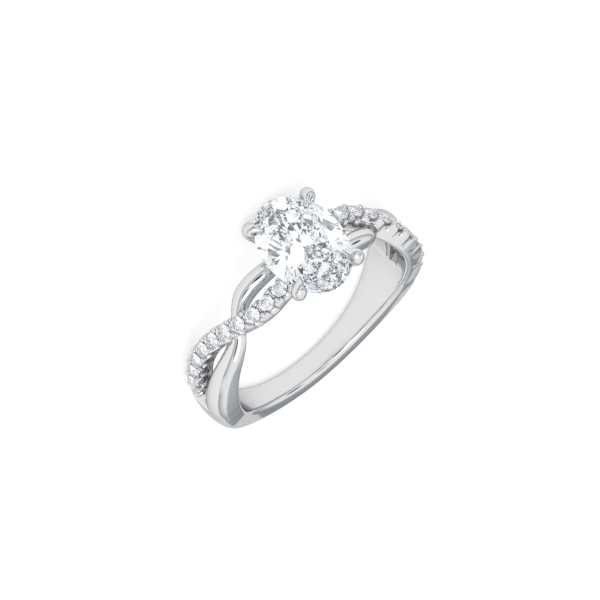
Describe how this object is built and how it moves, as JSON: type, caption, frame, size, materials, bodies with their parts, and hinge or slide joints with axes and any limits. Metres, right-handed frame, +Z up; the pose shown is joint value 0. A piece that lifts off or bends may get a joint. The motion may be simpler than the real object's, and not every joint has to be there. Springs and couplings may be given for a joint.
{
  "type": "twisted shank ring",
  "caption": "Finger ring with an oval brilliant in four claws; on each arm a plain strand crosses under a strand set with small round stones, and both join a plain band.",
  "frame": {"origin": "Middle of the bounding box's bottom face, on the floor that the ring lies on.", "axes": "Z up. The ring lies on its side: X runs across the finger hole from arm to arm, +Y points from the band's bottom to the oval stone, and the finger hole's axis leans about 10 degrees from Z."},
  "size_m": [0.0212, 0.0224, 0.0091],
  "materials": {
    "white_metal": "polished white gold",
    "stone": "clear faceted diamond"
  },
  "bodies": {
    "root": {"shank": "white_metal", "centre_stone": "stone", "accent_stone_01": "stone", "accent_stone_02": "stone", "accent_stone_03": "stone", "accent_stone_04": "stone", "accent_stone_05": "stone", "accent_stone_06": "stone", "accent_stone_07": "stone", "accent_stone_08": "stone", "accent_stone_09": "stone", "accent_stone_10": "stone", "accent_stone_11": "stone", "accent_stone_12": "stone", "accent_stone_13": "stone", "accent_stone_14": "stone", "accent_stone_15": "stone", "accent_stone_16": "stone", "accent_stone_17": "stone", "accent_stone_18": "stone", "accent_stone_19": "stone", "accent_stone_20": "stone"}
  },
  "joints": []
}
